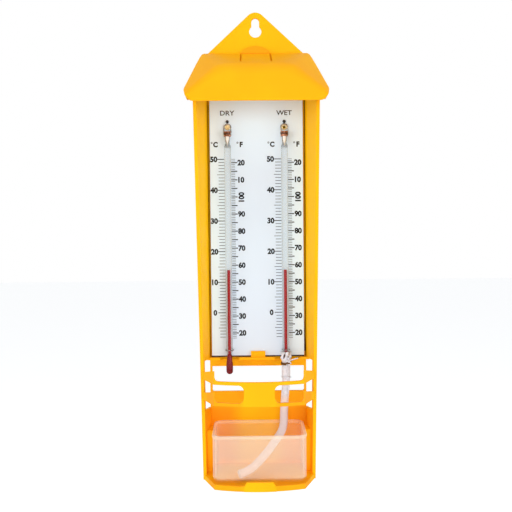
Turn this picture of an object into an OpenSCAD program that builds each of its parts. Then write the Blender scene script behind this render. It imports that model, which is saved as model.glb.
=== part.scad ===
// Wall-hung wet and dry bulb hygrometer: a moulded case with a clip-on hood,
// a printed scale plate, two spirit thermometers, a cotton wick and a water pot.
// Millimetres. The origin is the centre of the hanging slot, on the wall.
// +Z is up, the wall is the plane y = 0, and the front faces -Y.

/* [Back panel] */
// Hanging slot centre up to the tip of the gable
apex_rise = 6.5; // [5:0.5:12]
// Radius of the gable's tip
apex_r = 7; // [5.5:0.5:10]
// Slope of the gable's edges, from level
gable_slope = 42.8; // [35:0.1:50]
// Thickness of the back panel
panel_t = 2.5; // [1.5:0.1:4]
// Half the width across the back
back_half = 35.4; // [35:0.1:38]
// Diameter of the slot that hangs on the screw
slot_d = 5.4; // [3.5:0.1:6]
// Diameter of the hole that passes over the screw's head
key_d = 8.6; // [7.8:0.1:11]
// Slot centre down to the centre of that hole
key_drop = 6.5; // [5:0.1:9]

/* [Side walls] */
// Half the width across the walls' front edges, at the hood's lip
front_half_top = 41.9; // [41:0.1:43]
// Half the width across the walls' front edges, at the bottom
front_half_low = 38; // [37.6:0.1:40]
// Depth of the walls at the hood's lip
wall_depth_top = 32.5; // [28:0.5:36]
// Depth of the walls at the bottom
wall_depth_low = 28; // [26:0.5:30]
// Thickness of the side walls
wall_t = 2.2; // [1.6:0.1:2.6]

/* [Ledge and window] */
// Slot centre down to the top of the ledge that the plate stands on
ledge_drop = 233.6; // [225:0.1:245]
// Thickness of the ledge
ledge_t = 1.7; // [1:0.1:3]
// Depth of the ledge's front edge
ledge_depth = 9.5; // [8.5:0.1:12]
// Radius of the scallop round the dry bulb
dry_scallop_r = 7; // [5:0.1:9]
// Radius of the scallop round the wet bulb
wet_scallop_r = 8.8; // [6:0.1:11]
// Width of the clip in front of the plate
clip_w = 10; // [6:0.5:16]
// Height of the clip above the ledge
clip_h = 4.2; // [2:0.1:8]
// Thickness of the clip
clip_t = 1.5; // [1:0.1:2.5]
// Back's side edge in to the back window
window_margin = 3; // [2.6:0.1:8]
// Ledge top down to the window's top edge
window_gap = 7.1; // [4:0.1:9]
// Height of the window
window_h = 18; // [12:0.1:22]

/* [Basket] */
// Half the width across the basket's front corners
corner_half = 29.5; // [27:0.1:31]
// Depth of the front corners
corner_depth = 48; // [46:0.1:50]
// How far the basket's front bows forward between its corners
front_bow = 5; // [4:0.1:7]
// Thickness of the bars
bar_t = 1.7; // [1.4:0.1:2.2]
// Ledge top down to the upper bar's lower edge
bar_drop = 10.8; // [10:0.1:13]
// Upper bar's lower edge down to the lower bar's lower edge
bar_pitch = 13.8; // [12:0.1:15]
// Height of a bar across the front
bar_h = 2.2; // [1.6:0.1:3.6]
// Height of a bar where it leaves the side walls
bar_side_h = 4.6; // [3:0.1:5.4]
// Height of a bar at its front corners
bar_corner_h = 8.9; // [6:0.1:9.6]
// Radius of the opening's lower corners above a bar
bar_round = 2.4; // [1:0.1:4]
// Half the width of the web between the bars
web_half = 9.9; // [6:0.1:14]
// Radius in the web's corners
web_fillet = 4; // [1:0.1:5]

/* [Tray] */
// Ledge top down to the top edge of the tray's front skirt
tray_drop = 76.2; // [75:0.1:90]
// Height of the skirt
skirt_h = 3.5; // [3.2:0.1:6]
// Skirt's top edge down to the tray's floor
floor_sink = 0.4; // [0.2:0.1:0.8]
// Thickness of the floor
floor_t = 2; // [1:0.1:2.4]
// Height of the lip above the skirt
lip_h = 2.7; // [1:0.1:2.9]
// Half the width of the lip at its top
lip_half = 8.5; // [5:0.1:14]
// Thickness of the lip
lip_t = 1.4; // [1:0.1:1.8]
// Height of the guide ribs beside the pot
rib_h = 28.4; // [15:0.1:30]

/* [Hood] */
// Slot centre down to the hood's top edge
hood_drop = 22.2; // [20:0.1:24]
// Half the width across the top edge
hood_top_half = 37.4; // [37:0.1:39]
// Depth of the edge between roof and front
knee_depth = 40; // [38:0.1:46]
// Top edge down to the edge between roof and front
knee_fall = 15; // [12:0.1:16]
// Half the width across that edge
knee_half = 39.2; // [39:0.1:41]
// Depth of the lip
hood_depth = 51; // [50:0.1:56]
// Top edge down to the lip
lip_fall = 40; // [39:0.1:44]
// Half the width across the lip's corners
hood_lip_half = 46.3; // [45.8:0.1:48]
// Radius of the lip's corners
hood_corner_r = 6; // [3:0.1:8]
// Wall thickness of the hood
hood_t = 1.8; // [1.4:0.1:2]
// Half the width of the tongue
tongue_half = 9.6; // [6:0.1:14]
// Height of the tongue above the hood's top edge
tongue_rise = 5.3; // [4:0.1:6]
// Radius of the soft edge between roof and front
knee_r = 20; // [5:0.5:24]
// Thickness of the tongue
tongue_t = 1.6; // [1:0.1:2]
// Width of the slits beside the tongue
slit_w = 1.1; // [0.6:0.1:2]

/* [Scale plate] */
// Clearance between the plate's side edge and the wall beside it
plate_play = 0.9; // [0.4:0.1:3]
// Slot centre down to the plate's top edge, under the hood
plate_top_drop = 48; // [44:0.5:56]
// Thickness of the plate
plate_t = 1.5; // [0.8:0.1:2]
// Depth of the plate's face
plate_face = 6.5; // [6:0.1:7]

/* [Thermometers] */
// Distance between the two tubes
tube_pitch = 39.4; // [36:0.1:42]
// How far the pair sits to the left of the centre
tube_shift = 0.3; // [0:0.1:1]
// Diameter of a glass stem
stem_d = 4.6; // [4:0.1:5]
// Diameter of the bore
bore_d = 1.3; // [0.8:0.05:1.6]
// Diameter of the bulb
bulb_d = 4.9; // [4.2:0.1:5.2]
// Glass thickness of the bulb
bulb_glass = 0.45; // [0.3:0.05:0.6]
// Ledge top up to the neck above the bulb
neck_rise = 3.3; // [2:0.1:6]
// Neck down to the bulb's end
bulb_len = 15; // [12:0.1:18]
// Slot centre down to the top of the stem
stem_top_drop = 76.6; // [75:0.1:90]
// Diameter of the narrow tail above the stem's shoulder
tail_d = 3; // [2.8:0.1:3.4]
// Copper band down to the stem's shoulder
tail_len = 6.6; // [4:0.1:10]
// Slot centre down to the 0 degrees Celsius mark
zero_drop = 202.4; // [195:0.1:208]
// Length of one degree Celsius on the scale
degree = 2.14; // [2:0.01:2.2]
// Temperature that both columns show
reading = 14; // [0:0.5:30]

/* [Thermometer fixings] */
// Diameter of the copper band's outside
band_d = 4.8; // [4.4:0.1:5.2]
// Height of the copper band
band_h = 3.4; // [2:0.1:5]
// Slot centre down to the eyelet's centre
eyelet_drop = 73.5; // [73:0.1:74]
// Outer diameter of the eyelet
eyelet_d = 3.9; // [3.6:0.1:4.6]
// Diameter of the eyelet's hole
eyelet_hole = 1.9; // [1.4:0.1:2.2]
// Height of the eyelet's rim above the plate
eyelet_h = 1.1; // [0.6:0.1:1.6]
// Diameter of the top wire
wire_d = 0.7; // [0.4:0.05:0.8]
// Diameter of the black peg's head
peg_d = 2.2; // [1.6:0.1:2.4]
// Neck up to the staple across the stem
staple_rise = 2; // [1.6:0.1:3]
// Diameter of the staple's wire
staple_wire = 0.5; // [0.4:0.05:0.6]

/* [Wick and pot] */
// Outer diameter of the wick over the bulb
sleeve_d = 6.2; // [6:0.1:6.6]
// Diameter of the wick below the bulb
wick_d = 5.4; // [4.4:0.1:5.6]
// Thickness of the thread that ties the wick
thread_d = 0.6; // [0.5:0.05:0.8]
// Half the width of the pot
pot_half = 30.8; // [28:0.1:31]
// Depth of the pot's back face
pot_back = 5; // [4:0.1:5.2]
// Depth of the pot from back to front
pot_len = 42; // [40:0.1:42.2]
// Height of the pot
pot_h = 31.4; // [30:0.1:32]
// Wall thickness of the pot
pot_t = 1.2; // [0.8:0.1:1.4]
// Radius of the pot's corners
pot_r = 6.5; // [6:0.1:9]
// Bevel round the pot's foot
pot_bevel = 3.5; // [3.2:0.1:4]
// Slope that the pot is drawn out at, from level
draw_slope = 20; // [19:0.1:21]

/* [Hidden] */
$fn = 48;

// Clearances
seat = 0.2;
slack = 0.1;
fit = 0.05;

// How far a shape reaches into the one that it joins, and a cut past what it cuts
join = 0.5;
bite = 1;
through = 1;
beyond = 20;

// Fine features
nick_h = 2.8;
nick_d = 0.9;
nick_half = 2;
wall_top_gap = 3;
wall_nose = 2;
band_in = 4;
band_tail = 2;
post_t = 0.5;
post_in = 4;
lip_proud = 0.4;
lip_spread = 2;
lip_root = 0.6;
rib_t = 2;
plate_rib_half = 26;
wall_rise = 34;
wall_steps = 10;
strip_in = 1.4;
basket_in = 0.8;
opening_front = 3.4;
opening_fall = 7.8;
opening_sink = 11.6;
opening_lift = 2.3;
scallop_back = 3.8;
window_r = 1.2;
roof_edge_r = 2.2;
hood_edge_r = 5;
lip_flare = 1.6;
lip_run = 4;
hood_open = 12;
knee_in = 0.76 * knee_r;
brow_in = 6.4;
brow_rise = 2.4;
slit_depth = 31;
slit_low = 8;
tongue_round = 0.7;
cheek_rise = 12;
column_top_len = 1.4;
eyelet_wall = 0.4;
eyelet_grip = 0.55;
pin_step = 0.7;
peg_chamfer = 0.3;
peg_rise = 1;
tie_turns = 2;
tie_drop = 6.2;
thread_pitch = thread_d + 0.5;
knot_r = 1.4;
knot_out = 0.8 * knot_r;
tail_t = 0.8;
tail_out = 8;
tail_turn = [76, 118];
sleeve_rise = 1.2;
sleeve_taper = 2.5;
sleeve_flat = 8;
wick_cut = [0.25, 0.7];
foot_step = 1.1;
foot_skin = 0.1;
pot_play = 0.7;
rib_rear = 8;
rib_fore = 20;
rib_foot = 2;
tip_round = 0.5;
shoulder_run = 1.8;
neck_run = 1.2;
bulb_top = 2;
bulb_full = 7;
bulb_in = [0.6, 0.15];
meniscus = 0.35;
tail_glass = 0.6;

// Levels, down from the hanging slot
ledge_z = -ledge_drop;
window_top_z = ledge_z - window_gap;
window_low_z = window_top_z - window_h;
bar1_z = ledge_z - bar_drop;
bar2_z = bar1_z - bar_pitch;
skirt_z = ledge_z - tray_drop;
floor_z = skirt_z - floor_sink;
bottom_z = skirt_z - skirt_h;
hood_z = -hood_drop;
hood_lip_z = hood_z - lip_fall;
neck_z = ledge_z + neck_rise;
bulb_low_z = neck_z - bulb_len;
stem_top_z = -stem_top_drop;
band_low_z = stem_top_z - band_h;
shoulder_z = band_low_z - tail_len;
level_z = -zero_drop + reading * degree;
staple_z = neck_z + staple_rise;
pot_z = floor_z + seat;
pot_rim_z = pot_z + pot_h;

// Depths from the wall
panel_face = panel_t;
plate_back = plate_face - plate_t;
tube_depth = plate_face + seat + stem_d / 2;
front_depth = corner_depth + front_bow;
dry_x = -tube_pitch / 2 - tube_shift;
wet_x = tube_pitch / 2 - tube_shift;

// Half widths that follow from the case's
window_half = back_half - window_margin;
plate_half = back_half - wall_t - plate_play;

// Radius of the arc across the basket's front
bow_r = (pow(corner_half, 2) + pow(front_bow, 2)) / (2 * front_bow);

// The wick's route below the bulb: across, forward from the wall, and up
WICK = [
  [19.4, 9.0, -248.4], [19.2, 9.6, -252], [18.7, 10.6, -257], [18.2, 11.8, -262],
  [17.8, 12.9, -267], [17.5, 13.9, -271.5], [17.3, 15.0, -276], [17.0, 16.0, -279],
  [15.9, 18.0, -282.4], [13.6, 21.0, -285.6], [10.4, 24.6, -289], [5.8, 29.0, -293.8],
  [0.6, 33.2, -298.4], [-4.4, 36.8, -302.2], [-9.4, 39.8, -304.3], [-13.6, 41.6, -305.4]
];
WICK_SIDES = 12;

yellow = [0.98, 0.75, 0.04];
white = [0.90, 0.92, 0.94];
glass = [0.85, 0.90, 0.92];
red = [0.72, 0.06, 0.08];
brass = [0.80, 0.70, 0.42];
copper = [0.60, 0.30, 0.14];
steel = [0.45, 0.46, 0.48];
black = [0.06, 0.06, 0.06];
cotton = [0.93, 0.92, 0.90];
frosted = [0.93, 0.91, 0.88];

// Extrudes a front view, x across and z up, forward from the depth d
module forward(d, t)
  translate([0, -d, 0]) rotate([90, 0, 0]) linear_extrude(t) children();

// Extrudes a side view, depth across and z up, to half the width w each way
module across(w)
  rotate([90, 0, -90]) linear_extrude(2 * w, center = true) children();

// Extrudes a plan, x across and depth up, from the height z
module upward(z, h)
  translate([0, 0, z]) mirror([0, 1, 0]) linear_extrude(h) children();

// Puts children at a depth from the wall
module at(x, d, z) translate([x, -d, z]) children();

module both_sides() {
  children();
  mirror([1, 0, 0]) children();
}

// Share of the way down the walls, from the hood's lip to the bottom
function down(z) = (hood_lip_z - z) / (hood_lip_z - bottom_z);
function front_half(z) = front_half_top + (front_half_low - front_half_top) * down(z);
function wall_depth(z) = wall_depth_top + (wall_depth_low - wall_depth_top) * down(z);
// Half the width inside a side wall, at a depth and height
function inner_half(d, z) =
  back_half - wall_t + (front_half(z) - back_half) * d / wall_depth(z);

// Half the width of the basket where it leaves the walls, at a height
function basket_half(z) = front_half(z) - basket_in;

// Corners of one side wall's plan at a height
function wall_ring(z) = [
  [back_half - wall_t, 0, z], [back_half, 0, z],
  [front_half(z), -wall_depth(z), z], [front_half(z) - wall_t, -wall_depth(z), z]
];

// Faces of a solid swept through rings of n points each
function sweep_faces(rings, n) =
  let (
    sides = [
      for (i = [0:rings - 2], k = [0:n - 1])
        let (a = i * n + k, b = i * n + (k + 1) % n)
        each [[a, b, b + n], [a, b + n, a + n]]
    ],
    first = [for (k = [n - 1:-1:0]) k],
    last = [for (k = [0:n - 1]) (rings - 1) * n + k]
  )
  concat(sides, [first], [last]);

// The back's outline, with a round tip to its gable
module gable_outline() {
  tip_z = apex_rise - apex_r;
  tip = [for (i = [-6:6]) let (a = i * gable_slope / 6) [apex_r * sin(a), tip_z + apex_r * cos(a)]];
  eaves_z = tip[0].y - (back_half + tip[0].x) * tan(gable_slope);
  polygon(concat(
    tip,
    [[back_half, eaves_z], [back_half, bottom_z], [-back_half, bottom_z], [-back_half, eaves_z]]
  ));
}

module keyhole() {
  circle(d = slot_d);
  translate([-slot_d / 2, -key_drop]) square([slot_d, key_drop]);
  translate([0, -key_drop]) circle(d = key_d);
}

module window_outline() {
  for (side = [-1, 1])
    translate([side * (window_half - window_r), window_low_z + window_r]) circle(window_r);
  translate([-window_half, window_low_z + window_r]) square([2 * window_half, window_h - window_r]);
  translate([window_r - window_half, window_low_z])
    square([2 * (window_half - window_r), window_h]);
}

module panel()
  forward(0, panel_t)
    difference() {
      gable_outline();
      keyhole();
      window_outline();
      both_sides()
        translate([back_half - strip_in, window_low_z - opening_sink])
          square([back_half, window_gap + window_h - ledge_t + opening_sink]);
    }

// Side walls, cut to the roof's slope at the top and open beside the basket
module side_walls() {
  wall_h = hood_lip_z + wall_rise - bottom_z;
  difference() {
    both_sides()
      polyhedron(
        [for (i = [0:wall_steps]) each wall_ring(bottom_z + i * wall_h / wall_steps)],
        sweep_faces(wall_steps + 1, 4), convexity = 4
      );
    across(3 * back_half)
      polygon([
        [panel_t, hood_z - wall_top_gap], [wall_depth_top + wall_nose, hood_lip_z + wall_nose],
        [2 * wall_depth_top, hood_lip_z], [2 * wall_depth_top, 0], [-through, 0],
        [-through, hood_z - wall_top_gap]
      ]);
    across(3 * back_half)
      polygon([
        [-through, ledge_z - ledge_t], [panel_t, ledge_z - ledge_t],
        [wall_depth_low - opening_front, ledge_z - ledge_t + opening_lift],
        [wall_depth_low - opening_front, window_low_z - opening_fall],
        [panel_t, window_low_z - opening_sink], [-through, window_low_z - opening_sink]
      ]);
    at(-front_half(ledge_z) - through, wall_depth(ledge_z) - nick_half, ledge_z - ledge_t - nick_h)
      cube([through + nick_d, 2 * nick_half, nick_h]);
  }
}

// Plan inside the basket at a height, drawn in by an inset
module basket_plan(z, inset) {
  half = basket_half(z);
  lean = (half - corner_half) / (corner_depth - wall_depth_low);
  side = inset * sqrt(1 + lean * lean);
  reach = front_depth + through;
  far = half - lean * (reach - wall_depth_low) - side;
  intersection() {
    translate([0, front_depth - bow_r]) circle(bow_r - inset, $fn = 160);
    polygon([
      [side - half, wall_depth_low - band_in], [side - half, wall_depth_low],
      [-far, reach], [far, reach],
      [half - side, wall_depth_low], [half - side, wall_depth_low - band_in]
    ]);
  }
}

// Plan of the band that the bars, the web and the skirt are cut from
module band_plan(z)
  difference() {
    basket_plan(z, 0);
    basket_plan(z, bar_t);
    translate([-2 * front_half_low, wall_depth_low - band_in - through])
      square([4 * front_half_low, through + band_in - band_tail]);
  }

// A bar: low across the front, and rising from the side walls to its front corners
module bar(z) {
  reach = front_depth + through;
  top = z + bar_corner_h;
  half = corner_half - post_t;
  round = [
    for (a = [0:15:90])
      [half - bar_round * (1 - cos(a)), z + bar_h + bar_round * (1 - sin(a))]
  ];
  difference() {
    intersection() {
      upward(z - through, bar_corner_h + 2 * through) band_plan(z);
      across(2 * front_half_low)
        polygon([
          [0, z], [reach, z], [reach, top], [corner_depth, top],
          [wall_depth_low, z + bar_side_h], [0, z + bar_side_h]
        ]);
    }
    forward(corner_depth - post_in, front_bow + post_in + through)
      polygon(concat(
        [[half, top + through]], round,
        [for (i = [len(round) - 1:-1:0]) [-round[i].x, round[i].y]],
        [[-half, top + through]]
      ));
  }
}

// The web between the bars, with a round fillet in each corner
module web() {
  low = bar2_z + bar_h;
  r = web_fillet;
  rise = (bar_pitch - bar_h) / 2;
  fillet = [
    for (i = [0:6])
      let (a = 15 * i)
      [web_half + r * (1 - cos(a)), rise + join / 4 - r * (1 - sin(a))]
  ];
  side = concat(fillet, [[web_half + r, rise + join]]);
  intersection() {
    upward(bar2_z, bar_pitch + bar_h) band_plan(bar2_z);
    forward(wall_depth_low, front_depth)
      translate([0, low + rise])
        polygon(concat(
          side,
          [for (i = [len(side) - 1:-1:0]) [-side[i].x, side[i].y]],
          [for (q = side) [-q.x, -q.y]],
          [for (i = [len(side) - 1:-1:0]) [side[i].x, -side[i].y]]
        ));
  }
}

// The ledge under the plate, scalloped round the two bulbs
module ledge() {
  difference() {
    upward(ledge_z - ledge_t, ledge_t)
      polygon([
        [-inner_half(0, ledge_z) - bite, panel_t - bite], [inner_half(0, ledge_z) + bite, panel_t - bite],
        [inner_half(ledge_depth, ledge_z) + bite, ledge_depth],
        [-inner_half(ledge_depth, ledge_z) - bite, ledge_depth]
      ]);
    for (c = [[dry_x, dry_scallop_r], [wet_x, wet_scallop_r]])
      at(c.x, scallop_back + c.y, ledge_z - ledge_t - through)
        cylinder(r = c.y, h = ledge_t + 2 * through);
  }
  forward(plate_face + seat, clip_t)
    translate([-clip_w / 2, ledge_z - ledge_t]) square([clip_w, ledge_t + clip_h]);
}

// Ribs on the panel that the plate lies against
module plate_ribs()
  both_sides()
    forward(panel_t - bite, plate_back - seat - panel_t + bite)
      translate([plate_rib_half, ledge_z + rib_foot]) square([rib_t, hood_lip_z - ledge_z]);

module tray() {
  half = basket_half(bottom_z);
  upward(bottom_z, skirt_h) band_plan(bottom_z);
  upward(floor_z - floor_t, floor_t) {
    basket_plan(bottom_z, bar_t / 2);
    polygon([
      [bite - back_half, panel_t - bite], [back_half - bite, panel_t - bite],
      [half - bite, wall_depth_low - band_in + bite], [bite - half, wall_depth_low - band_in + bite]
    ]);
  }
  intersection() {
    forward(front_depth - lip_t + lip_proud, lip_t)
      polygon([
        [-lip_half - lip_spread, bottom_z], [lip_half + lip_spread, bottom_z],
        [lip_half + lip_spread, skirt_z - lip_root], [lip_half, skirt_z + lip_h],
        [-lip_half, skirt_z + lip_h], [-lip_half - lip_spread, skirt_z - lip_root]
      ]);
    upward(bottom_z, skirt_h + lip_h)
      translate([0, front_depth - bow_r]) circle(bow_r + lip_proud, $fn = 160);
  }
}

// Upright ribs on the side walls that guide the pot
module pot_guides() {
  rib_in = pot_half + pot_play;
  both_sides()
    upward(floor_z - join, rib_h + join)
      polygon([
        [rib_in, rib_rear], [inner_half(rib_rear, floor_z) + bite, rib_rear],
        [inner_half(rib_fore, floor_z) + bite, rib_fore], [rib_in, rib_fore]
      ]);
}

module case_body()
  color(yellow) union() {
    panel();
    side_walls();
    ledge();
    plate_ribs();
    bar(bar1_z);
    bar(bar2_z);
    web();
    tray();
    pot_guides();
  }

// Balls at the hood's corners, whose hull is its outer or inner skin
module hood_skin(t, back) {
  er = roof_edge_r - t;
  kr = hood_edge_r - t;
  rear = panel_face + slack + roof_edge_r;
  flare = hood_lip_half + lip_flare - hood_edge_r;
  hull()
    both_sides() {
      for (d = [rear, rear - back]) {
        at(hood_top_half - roof_edge_r, d, hood_z - roof_edge_r) sphere(er, $fn = 32);
        at(hood_top_half, d, hood_lip_z + cheek_rise / 2) sphere(er, $fn = 32);
      }
      at(knee_half - knee_r, knee_depth - knee_in, hood_z - knee_fall - knee_in)
        sphere(knee_r - t, $fn = 64);
      at(flare, hood_depth - brow_in, hood_lip_z + brow_rise) sphere(kr, $fn = 32);
      at(flare, hood_depth - hood_edge_r, hood_lip_z - bite) sphere(kr, $fn = 32);
    }
}

// Front view of the hood, with round corners at the lip
module hood_outline()
  hull()
    both_sides() {
      translate([hood_lip_half - hood_corner_r, hood_lip_z + hood_corner_r]) circle(hood_corner_r);
      translate([hood_top_half, hood_z]) square(bite);
    }

module tongue() {
  crown = tongue_rise * tongue_round;
  arc_r = (pow(tongue_half, 2) + pow(crown, 2)) / (2 * crown);
  forward(panel_face + slack, tongue_t)
    intersection() {
      translate([0, hood_z + tongue_rise - arc_r]) circle(arc_r);
      translate([-tongue_half, hood_z - roof_edge_r])
        square([2 * tongue_half, roof_edge_r + tongue_rise + through]);
    }
}

module hood()
  color(yellow) {
    difference() {
      hood_skin(0, 0);
      hood_skin(hood_t, hood_open);
      across(2 * hood_lip_half)
        polygon([
          [-beyond, hood_lip_z + cheek_rise + lip_run], [panel_face, hood_lip_z + cheek_rise],
          [hood_depth - lip_run, hood_lip_z], [hood_depth + beyond, hood_lip_z],
          [hood_depth + beyond, hood_lip_z - beyond], [-beyond, hood_lip_z - beyond]
        ]);
      forward(-beyond, hood_depth + 2 * beyond)
        difference() {
          translate([-2 * hood_lip_half, hood_lip_z - beyond])
            square([4 * hood_lip_half, lip_fall + 2 * beyond]);
          hood_outline();
          translate([-2 * hood_lip_half, hood_z - bite]) square([4 * hood_lip_half, 2 * beyond]);
        }
      both_sides()
        at(tongue_half, slit_depth, hood_z - knee_fall - slit_low)
          cube([slit_w, slit_depth + beyond, knee_fall + beyond]);
    }
    tongue();
  }

module scale_plate() {
  top_z = -plate_top_drop;
  low_z = ledge_z + seat;
  color(white)
    difference() {
      forward(plate_back, plate_t)
        translate([-plate_half, low_z]) square([2 * plate_half, top_z - low_z]);
      for (x = [dry_x, wet_x]) {
        at(x, plate_back - through, -eyelet_drop) rotate([90, 0, 0])
          cylinder(d = eyelet_hole + 2 * eyelet_wall + 2 * slack, h = plate_t + 2 * through);
        at(x, plate_back - through, peg_z()) rotate([90, 0, 0])
          cylinder(d = peg_d - pin_step + 2 * fit, h = plate_t + 2 * through);
      }
    }
}

// Outline of a glass tube from its axis: stem, neck and round-ended bulb
function tube_profile() =
  let (r = stem_d / 2, b = bulb_d / 2, end = bulb_low_z + b, top_r = tail_d / 2)
  concat(
    [
      [0, stem_top_z], [top_r - tip_round, stem_top_z], [top_r, stem_top_z - tip_round],
      [top_r, shoulder_z + shoulder_run], [r - tip_round / 2, shoulder_z + tip_round],
      [r, shoulder_z - tip_round], [r, neck_z + neck_run], [r - tip_round, neck_z],
      [b - bulb_in[0], neck_z - bulb_top], [b - bulb_in[1], neck_z - bulb_full]
    ],
    [for (a = [0:15:90]) [b * cos(a), end - b * sin(a)]]
  );

// Outline of the hollow in the bulb
function bulb_hollow(gap) =
  let (b = bulb_d / 2 - bulb_glass - gap, end = bulb_low_z + bulb_d / 2)
  concat(
    [
      [0, neck_z - bulb_top / 4], [b - bulb_in[0] - neck_run / 4, neck_z - bulb_top / 2 - gap],
      [b - bulb_in[0], neck_z - bulb_top * neck_run], [b - bulb_in[1], neck_z - bulb_full]
    ],
    [for (a = [0:15:90]) [b * cos(a), end - b * sin(a)]]
  );

module glass_tube(x)
  color(glass) at(x, tube_depth, 0)
    difference() {
      rotate_extrude() polygon(tube_profile());
      rotate_extrude() polygon(bulb_hollow(0));
      translate([0, 0, neck_z - bulb_top])
        cylinder(d = bore_d, h = shoulder_z + join - neck_z + bulb_top);
      rotate_extrude()
        polygon([
          [0, shoulder_z], [bore_d / 2, shoulder_z],
          [tail_d / 2 - tail_glass, band_low_z - tail_glass], [0, band_low_z]
        ]);
    }

module bulb_spirit(x)
  color(red) at(x, tube_depth, 0) rotate_extrude() polygon(bulb_hollow(fit));

module column(x) {
  low_z = neck_z - join + slack;
  color(red) at(x, tube_depth, low_z)
    cylinder(d = bore_d - 2 * fit, h = level_z - column_top_len - low_z);
}

module column_top(x)
  color(red) at(x, tube_depth, level_z - column_top_len)
    rotate_extrude()
      polygon([
        [0, 0], [bore_d / 2 - fit, 0], [bore_d / 2 - fit, column_top_len],
        [bore_d / 5, column_top_len - 0.8 * meniscus], [0, column_top_len - meniscus]
      ]);

// Eyelet through the plate, rolled over at the front
module eyelet(x) {
  rim = (eyelet_d - eyelet_hole) / 4;
  color(brass) at(x, plate_face, -eyelet_drop) rotate([90, 0, 0]) {
    rotate_extrude() {
      intersection() {
        translate([eyelet_d / 2 - rim, eyelet_h - rim]) circle(rim, $fn = 24);
        translate([0, slack / 2]) square([eyelet_d, eyelet_h]);
      }
      translate([eyelet_hole / 2, -plate_t]) square([eyelet_wall, plate_t + eyelet_grip]);
    }
  }
}

function arch_r() = eyelet_d / 2 + wire_d / 2 + slack;
function peg_z() = -eyelet_drop + arch_r() + wire_d / 2 + slack + peg_d / 2;

// Wire arch over the eyelet, with its legs down to the copper band
module top_wire(x)
  color(steel) at(x, plate_face + slack + wire_d / 2, -eyelet_drop) {
    rotate([90, 0, 0])
      rotate_extrude(angle = 180) translate([arch_r(), 0]) circle(d = wire_d, $fn = 24);
    for (side = [-1, 1])
      translate([side * arch_r(), 0, band_low_z + bite + eyelet_drop])
        cylinder(d = wire_d, h = -band_low_z - bite - eyelet_drop, $fn = 24);
  }

// Copper band round the top of the stem, with a foot back to the plate
module top_band(x) {
  foot_half = arch_r() - wire_d / 2 - slack;
  color(copper) at(x, tube_depth, band_low_z)
    difference() {
      union() {
        cylinder(d = band_d, h = band_h);
        translate([-foot_half, 0, 0]) cube([2 * foot_half, tube_depth - plate_face - slack, band_h]);
      }
      translate([0, 0, -through]) cylinder(d = tail_d + 2 * slack, h = band_h + 2 * through);
    }
}

module top_peg(x)
  color(black) at(x, plate_face, peg_z()) rotate([90, 0, 0]) {
    rotate_extrude()
      polygon([
        [0, slack / 2], [peg_d / 2, slack / 2], [peg_d / 2, peg_rise / 2],
        [peg_d / 2 - peg_chamfer, peg_rise - peg_chamfer / 2], [0, peg_rise]
      ]);
    translate([0, 0, -plate_t]) cylinder(d = peg_d - pin_step, h = plate_t + peg_rise / 2);
  }

// Wire staple over the stem, with its legs back to the plate
module staple(x) {
  r = stem_d / 2 + slack + staple_wire / 2;
  color(steel) at(x, tube_depth, staple_z) {
    rotate([0, 0, 180])
      rotate_extrude(angle = 180) translate([r, 0]) circle(d = staple_wire, $fn = 24);
    for (side = [-1, 1])
      translate([side * r, 0, 0]) rotate([-90, 0, 0])
        cylinder(d = staple_wire, h = tube_depth - plate_face - slack, $fn = 24);
  }
}

// Knitted sleeve over the wet bulb, closed below it
module wick_sleeve() {
  top_z = neck_z + sleeve_rise;
  low_z = WICK[0].z;
  color(cotton) at(wet_x, tube_depth, 0)
    difference() {
      rotate_extrude()
        polygon([
          [0, low_z], [wick_d / 2, low_z], [sleeve_d / 2, low_z + sleeve_taper],
          [sleeve_d / 2, top_z], [0, top_z]
        ]);
      translate([0, 0, bulb_low_z - seat])
        cylinder(d = bulb_d + 3 * slack, h = top_z - bulb_low_z + through);
      translate([-sleeve_d, tube_depth - plate_face - slack, ledge_z - bite])
        cube([2 * sleeve_d, sleeve_d, sleeve_flat]);
    }
}

function unit(v) = v / norm(v);
function place(p) = [p.x, -p.y, p.z];
function heading(path, i) = unit(path[min(i + 1, len(path) - 1)] - path[max(i - 1, 0)]);

// A ring of n points round point i of a path, turned from a direction that the path never takes
function ring(path, i, r, n, side, t) =
  let (u = unit(cross(t, side)), v = cross(u, t))
  [for (k = [0:n - 1]) path[i] + r * (cos(k * 360 / n) * u + sin(k * 360 / n) * v)];

// The tie's thread: turns round the sleeve, from its front
TIE_STEPS = 24;
tie_r = sleeve_d / 2 + slack + thread_d / 2;
tie_z = neck_z - tie_drop;
tie_path = [
  for (i = [0:TIE_STEPS * tie_turns])
    let (a = i * 360 / TIE_STEPS)
    [wet_x + tie_r * sin(a), -tube_depth - tie_r * cos(a), tie_z - i * thread_pitch / TIE_STEPS]
];
tie_gap = min([
  for (i = [0:len(tie_path) - 1], k = [i + TIE_STEPS / 2:len(tie_path) - 1])
    norm(tie_path[i] - tie_path[k])
]) - thread_d;
echo(tie_gap = tie_gap);

// Thread round the sleeve, with its knot and two tails in front
module wick_tie()
  color(cotton) {
    polyhedron(
      [
        for (i = [0:len(tie_path) - 1])
          each ring(tie_path, i, thread_d / 2, 6, [0, 0, 1], heading(tie_path, i))
      ],
      sweep_faces(len(tie_path), 6), convexity = 6
    );
    at(wet_x, tube_depth + tie_r + knot_out, tie_z + knot_out) {
      sphere(knot_r, $fn = 32);
      rotate([0, tail_turn[0], 0]) cylinder(d = tail_t, h = tail_out, $fn = 20);
      rotate([0, tail_turn[1], 0]) cylinder(d = tail_t, h = tail_out / 2, $fn = 20);
    }
  }

// The whole wick below the bulb, as one tube swept along its route
module wick_tube() {
  path = [for (p = WICK) place(p)];
  polyhedron(
    [
      for (i = [0:len(path) - 1])
        each ring(path, i, wick_d / 2, WICK_SIDES, [0, 1, 0], i == 0 ? [0, 0, -1] : heading(path, i))
    ],
    sweep_faces(len(path), WICK_SIDES), convexity = 6
  );
}

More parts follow.
